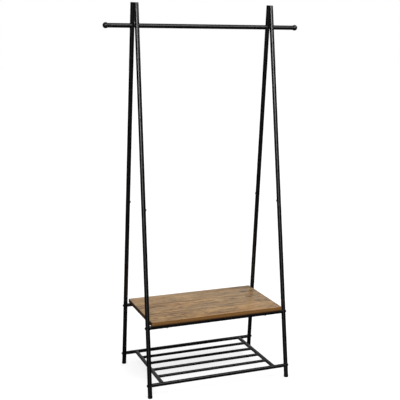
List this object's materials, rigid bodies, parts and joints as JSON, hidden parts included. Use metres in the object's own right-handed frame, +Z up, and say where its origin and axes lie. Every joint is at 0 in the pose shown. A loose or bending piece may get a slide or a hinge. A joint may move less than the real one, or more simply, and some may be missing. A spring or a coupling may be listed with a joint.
{
  "type": "clothes rack",
  "caption": "Free-standing tubular clothes rack: crossed-leg side frames, a hanging rail with ball ends, a wooden shelf and a slatted bottom rack.",
  "frame": {"origin": "on the floor, midway between the two side frames and under the hanging rail", "axes": "+X to the right along the hanging rail, +Y to the back, +Z up"},
  "size_m": [0.885, 0.43, 1.6411],
  "materials": {
    "black_tube": "black powder coat, fine texture",
    "cap_plastic": "moulded black plastic",
    "fixing_steel": "blackened button-head screws",
    "bare_steel": "zinc-plated, hidden inside the tubes",
    "shelf_wood": "rustic brown planked board, satin"
  },
  "bodies": {
    "root": {"crossing_stud_inserts": "bare_steel", "hanging_rail": "black_tube", "left_ball_finial": "cap_plastic", "left_crossing_spacer": "cap_plastic", "left_crossing_stud": "bare_steel", "left_front_foot_cap": "cap_plastic", "left_front_joint_sleeve": "bare_steel", "left_front_lower_leg": "black_tube", "left_front_top_cap": "cap_plastic", "left_front_upper_leg": "black_tube", "left_rail_stub": "black_tube", "left_rear_foot_cap": "cap_plastic", "left_rear_joint_sleeve": "bare_steel", "left_rear_lower_leg": "black_tube", "left_rear_top_cap": "cap_plastic", "left_rear_upper_leg": "black_tube", "leg_joint_screws": "fixing_steel", "rack_front_rail": "black_tube", "rack_left_cross_bar": "black_tube", "rack_rail_screws": "fixing_steel", "rack_rear_rail": "black_tube", "rack_right_cross_bar": "black_tube", "rack_slat_1": "black_tube", "rack_slat_2": "black_tube", "rack_slat_3": "black_tube", "rack_slat_4": "black_tube", "rail_end_inserts": "bare_steel", "right_ball_finial": "cap_plastic", "right_crossing_spacer": "cap_plastic", "right_crossing_stud": "bare_steel", "right_front_foot_cap": "cap_plastic", "right_front_joint_sleeve": "bare_steel", "right_front_lower_leg": "black_tube", "right_front_top_cap": "cap_plastic", "right_front_upper_leg": "black_tube", "right_rail_stub": "black_tube", "right_rear_foot_cap": "cap_plastic", "right_rear_joint_sleeve": "bare_steel", "right_rear_lower_leg": "black_tube", "right_rear_top_cap": "cap_plastic", "right_rear_upper_leg": "black_tube", "shelf_board": "shelf_wood", "shelf_board_screws": "fixing_steel", "shelf_front_rail": "black_tube", "shelf_rail_screws": "fixing_steel", "shelf_rear_rail": "black_tube"}
  },
  "joints": []
}
